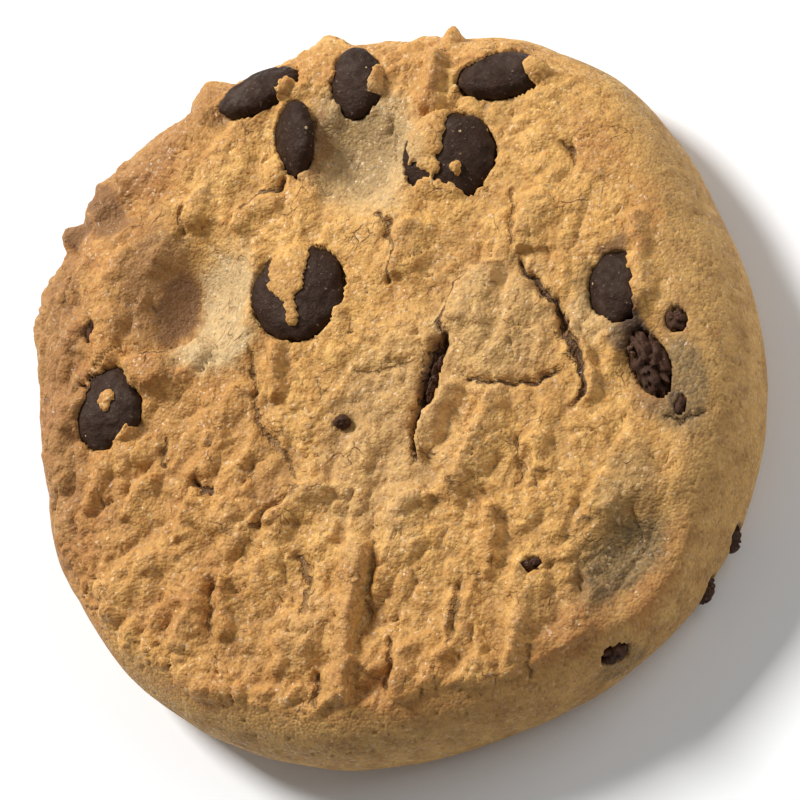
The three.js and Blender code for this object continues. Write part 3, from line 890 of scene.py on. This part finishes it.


# Colours of the crust. The crest colour is partly painted light on the exposed tops, and the
# valley, fissure and crack colours are painted shade.
GOLDEN, SANDY, CREST_LIGHT = (0.52, 0.25, 0.055), (0.76, 0.435, 0.125), (0.80, 0.51, 0.20)
VALLEY_SHADE, TOASTED, FLOURY = (0.36, 0.18, 0.052), (0.40, 0.155, 0.033), (0.55, 0.395, 0.20)
WALL_DEEP, WALL_LIGHT = (0.34, 0.176, 0.048), (0.57, 0.332, 0.106)
GREYED_AND_SHADED, BROWNED_AND_SHADED = (0.13, 0.092, 0.042), (0.20, 0.095, 0.035)
SUGAR_AND_GLINT, DULL_GRAIN, DARK_GRAIN = (0.90, 0.66, 0.38), (0.28, 0.13, 0.04), (0.20, 0.09, 0.03)
FISSURE_SHADE, CRACK_SHADE, SMUDGED = (0.22, 0.10, 0.032), (0.13, 0.060, 0.022), (0.045, 0.020, 0.012)

# Sizes of the crust's patterns, as swells or cells a metre.
MOTTLE, WALL_MOTTLE, CRUST_TONE = 170, 420, 900
GRAIN, CRUMBS, CRUMB_BUMPS, FINE_BUMPS = 3300, 1900, 1400, 3000
HAIR_PLATES, HAIR_PLACES, CRACK_RAGS = 420, 330, 1300


def dough_material():
    """Crust: sandy tones by height, with painted light on the crests and painted shade in the
    valleys, a darker wall, patches from the mesh's fields, some of them painted shade, grains of
    sugar with painted glints, and painted shade in the gaps between crumbs, along hairline
    fissures and in the ragged insides of the cracks."""
    s = Shader("baked_dough_crust")
    top = s.field("top")
    mottle = s.spread(s.noise(MOTTLE, 4), 0.35, 0.65, 0.55, 1.0)
    grain = s.cells(GRAIN)
    crumbs = s.cells(CRUMBS, s.warped(1100, 0.6))
    tone = s.add("ShaderNodeSeparateColor")
    s.link(grain.outputs["Color"], tone.inputs["Color"])
    red, green, blue = (tone.outputs[name] for name in ("Red", "Green", "Blue"))

    colour = s.mix(s.spread(s.noise(CRUST_TONE, 3), 0.35, 0.65), GOLDEN, SANDY)
    # Painted light: the crests are made lighter, as if lit, over the crust's golden tone.
    colour = s.mix(s.spread(s.field("height"), 0.1, 0.9, 0, 0.5), colour, CREST_LIGHT)
    # Painted shade: the low places are made darker, with some browning pooled there.
    colour = s.mix(s.spread(s.field("height"), 0.0, -0.6, 0, 0.5), colour, VALLEY_SHADE)
    wall = s.mix(s.spread(s.noise(WALL_MOTTLE, 5, 0.6), 0.36, 0.64), WALL_DEEP, WALL_LIGHT)
    colour = s.mix(top, wall, colour)
    colour = s.mix(s.math("MULTIPLY", s.field("toasted"), mottle), colour, TOASTED)
    colour = s.mix(s.field("pale"), colour, FLOURY)
    # Greyed where chocolate lies under the dough, and painted shade in the deep hollows.
    colour = s.mix(s.field("stained"), colour, GREYED_AND_SHADED)

    colour = s.mix(s.spread(red, 0, 1, 0, 0.30), colour, SANDY)
    colour = s.mix(s.spread(red, 0.5, 0, 0, 0.18), colour, DULL_GRAIN)
    # Grains of sugar: paler crystals, brightened further as painted glints.
    specks = s.math("MULTIPLY", s.spread(green, 0.95, 0.98, 0, 0.45), s.spread(top, 0, 1, 0.4, 1))
    colour = s.mix(specks, colour, SUGAR_AND_GLINT)
    colour = s.mix(s.spread(green, 0.06, 0.02, 0, 0.5), colour, DARK_GRAIN)

    # Painted shade in the gaps between crumbs.
    crumb_gap_shade = s.spread(crumbs.outputs["Distance"], 0.5, 0.85)
    crumb_gap_shade = s.math("MULTIPLY", crumb_gap_shade, s.spread(top, 0, 1, 0.1, 0.25))
    colour = s.mix(crumb_gap_shade, colour, FISSURE_SHADE)
    edges = s.cells(HAIR_PLATES, s.warped(700, 1.2), "DISTANCE_TO_EDGE").outputs["Distance"]
    places = s.spread(s.noise(HAIR_PLACES, 2), 0.56, 0.68)
    hairs = s.math("MULTIPLY", s.spread(edges, 0.045, 0.0), places)
    hairs = s.math("MULTIPLY", hairs, s.spread(top, 0, 1, 0.3, 0.8))
    # Painted shade along the hairline fissures.
    colour = s.mix(s.math("MULTIPLY", hairs, 0.7), colour, FISSURE_SHADE)
    # Browned dough and painted shade, from the dark field.
    colour = s.mix(s.field("dark"), colour, BROWNED_AND_SHADED)

    # The open cracks' insides: painted shade, darkest at the bottom of each groove.
    rags = s.spread(s.noise(CRACK_RAGS, 3), 0.3, 0.7, -0.9, 0.9)
    ragged = s.math("ADD", s.field("crack_side"), rags)
    groove = s.spread(s.math("ABSOLUTE", ragged), 0.9, 0.2)
    groove = s.math("MULTIPLY", groove, s.field("crack_deep"))
    colour = s.mix(s.spread(groove, 0, 0.8, 0, 0.85), colour, CRACK_SHADE)
    colour = s.mix(s.math("MULTIPLY", s.field("smudge"), mottle), colour, SMUDGED)

    s.link(colour, s.surface.inputs["Base Color"])
    s.link(s.spread(blue, 0.85, 0.95, 0.8, 0.3), s.surface.inputs["Roughness"])
    s.surface.inputs["Subsurface Weight"].default_value = 0.3
    s.surface.inputs["Subsurface Radius"].default_value = (1.0, 0.5, 0.25)
    s.surface.inputs["Subsurface Scale"].default_value = 0.001

    smoother = s.spread(s.field("pale"), 0, 1, 1.0, 0.5)
    crumbly = s.math("MULTIPLY", s.spread(top, 0, 1, 0.15, 1.0), smoother)
    sunk = s.math("MULTIPLY", crumbs.outputs["Distance"], crumbly)
    s.bump([
        (s.math("MULTIPLY", groove, -1.0), 0.5),
        (s.math("MULTIPLY", hairs, -1.0), 0.15),
        (s.math("MULTIPLY", s.noise(CRUMB_BUMPS, 4, 0.6), crumbly), 0.14),
        (s.math("MULTIPLY", sunk, -1.0), 0.08),
        (s.math("MULTIPLY", grain.outputs["Distance"], -1.0), 0.08),
        (s.noise(FINE_BUMPS, 3), 0.10)])
    return s.material


# Colours of the chocolate, each dark and light, and of what lies on it.
SATIN_CHOCOLATE = (0.021, 0.010, 0.006), (0.038, 0.018, 0.011)
BROKEN_CHOCOLATE = (0.040, 0.017, 0.010), (0.085, 0.038, 0.022)
DUST, DUSTY_FILM, CRUMB = (0.35, 0.24, 0.15), (0.085, 0.058, 0.042), (0.52, 0.36, 0.20)


def chocolate_material(name, dark, light):
    """Chocolate: two browns, specks of dust, a thin dusty film in patches, and a few round
    crumbs in cells of their own, with small swells and a fine roughness."""
    s = Shader(name)
    colour = s.mix(s.spread(s.noise(500, 4), 0.3, 0.7), dark, light)
    colour = s.mix(s.spread(s.noise(2600, 2), 0.66, 0.74, 0, 0.5), colour, DUST)
    colour = s.mix(s.spread(s.noise(300, 4, 0.65), 0.52, 0.72, 0, 0.45), colour, DUSTY_FILM)
    dust = s.cells(900)
    tone = s.add("ShaderNodeSeparateColor")
    s.link(dust.outputs["Color"], tone.inputs["Color"])
    size = s.spread(tone.outputs["Red"], 0.86, 1.0, 0.0, 0.22)
    crumb = s.math("LESS_THAN", dust.outputs["Distance"], size)
    colour = s.mix(crumb, colour, CRUMB)
    s.link(colour, s.surface.inputs["Base Color"])
    s.link(s.spread(s.noise(1500, 4), 0.35, 0.65, 0.45, 0.75), s.surface.inputs["Roughness"])
    s.surface.inputs["Specular IOR Level"].default_value = 0.2
    s.surface.inputs["Specular Tint"].default_value = (1.0, 0.82, 0.70, 1)
    s.bump([(s.noise(420, 3), 0.35), (s.noise(2600, 4, 0.65), 0.16), (crumb, 0.1)])
    return s.material


# ---------------------------------------------------------------- studio

FLOOR_AROUND = 64
FLOOR_REACHES = (300.0, 900.0, 1500.0)
FLOOR_LEVEL = -0.02
FLOOR_GREYS = (0.93, 0.93, 0.93), (0.95, 0.95, 0.95)


def make_floor():
    """A plain pale sheet: a wide flat disc of rings, a hair under the cookie."""
    rings = [(1, 0)] + [(FLOOR_AROUND, 0)] * len(FLOOR_REACHES)
    reach = np.concatenate([[0.0], np.repeat(FLOOR_REACHES, FLOOR_AROUND)])
    circle = np.arange(FLOOR_AROUND) * 2 * np.pi / FLOOR_AROUND
    turn = np.concatenate([[0.0]] + [circle] * len(FLOOR_REACHES))
    level = np.full(reach.shape, FLOOR_LEVEL)
    points = np.stack([reach * np.cos(turn), reach * np.sin(turn), level], 1)
    floor = mesh_object("floor", points, ring_faces(rings))
    s = Shader("pale_floor")
    s.link(s.mix(s.noise(20, 2), *FLOOR_GREYS), s.surface.inputs["Base Color"])
    s.surface.inputs["Roughness"].default_value = 0.9
    floor.data.materials.append(s.material)


TILT, TOWARD = math.radians(24), math.radians(-40)  # the view leans over this compass angle
LOOK_AT = (1.8, -1.2, 7.0)  # in mm
CAMERA_DISTANCE = 0.322
LENS, SENSOR = 150, 36


def make_camera():
    """Looks down on the near rim from the lower right, with +Y almost straight up the view:
    a camera that faces straight down, leaned over one compass angle without any turn."""
    back = Vector((math.sin(TILT) * math.cos(TOWARD), math.sin(TILT) * math.sin(TOWARD),
                   math.cos(TILT)))
    turn = Matrix.Rotation(TOWARD, 3, "Z")
    lean = turn @ Matrix.Rotation(TILT, 3, "Y") @ Matrix.Rotation(-TOWARD, 3, "Z")
    target = Vector(LOOK_AT) * MM
    data = bpy.data.cameras.new("camera")
    data.lens = LENS
    data.sensor_width = SENSOR
    data.clip_start = 0.01
    camera = bpy.data.objects.new("camera", data)
    camera.matrix_world = Matrix.Translation(target + back * CAMERA_DISTANCE) @ lean.to_4x4()
    bpy.context.scene.collection.objects.link(camera)
    bpy.context.scene.camera = camera


# Soft lights: name, place and size in metres, and power in watts.
AREA_LIGHTS = (
    ("key", (-0.47, 0.38, 0.52), 0.20, 8.2),
    ("fill", (0.55, 0.32, 0.45), 0.60, 2.0),
)
WORLD_STRENGTH = 0.205


def area_light(name, place, size, power):
    """A square soft light that faces the cookie."""
    data = bpy.data.lights.new(name, "AREA")
    data.size = size
    data.energy = power
    light = bpy.data.objects.new(name, data)
    light.location = place
    light.rotation_euler = (-Vector(place)).to_track_quat("-Z", "Y").to_euler()
    bpy.context.scene.collection.objects.link(light)


def make_lights():
    """The soft lights, in a plain white world."""
    for light in AREA_LIGHTS:
        area_light(*light)
    world = bpy.data.worlds.new("studio")
    world.use_nodes = True
    background = world.node_tree.nodes["Background"]
    background.inputs["Color"].default_value = (1, 1, 1, 1)
    background.inputs["Strength"].default_value = WORLD_STRENGTH
    bpy.context.scene.world = world
    bpy.context.scene.view_settings.view_transform = "Standard"


make_camera()
lumps = [Lump(name) for name in CHOCOLATE_NODES]
dough = make_dough(lumps)
dough.data.materials.append(dough_material())
satin = chocolate_material("dark_chocolate_satin", *SATIN_CHOCOLATE)
broken = chocolate_material("dark_chocolate_broken", *BROKEN_CHOCOLATE)
for lump in lumps:
    make_chip(lump, satin if lump.is_chip else broken)
make_floor()
make_lights()

bpy.context.view_layer.update()
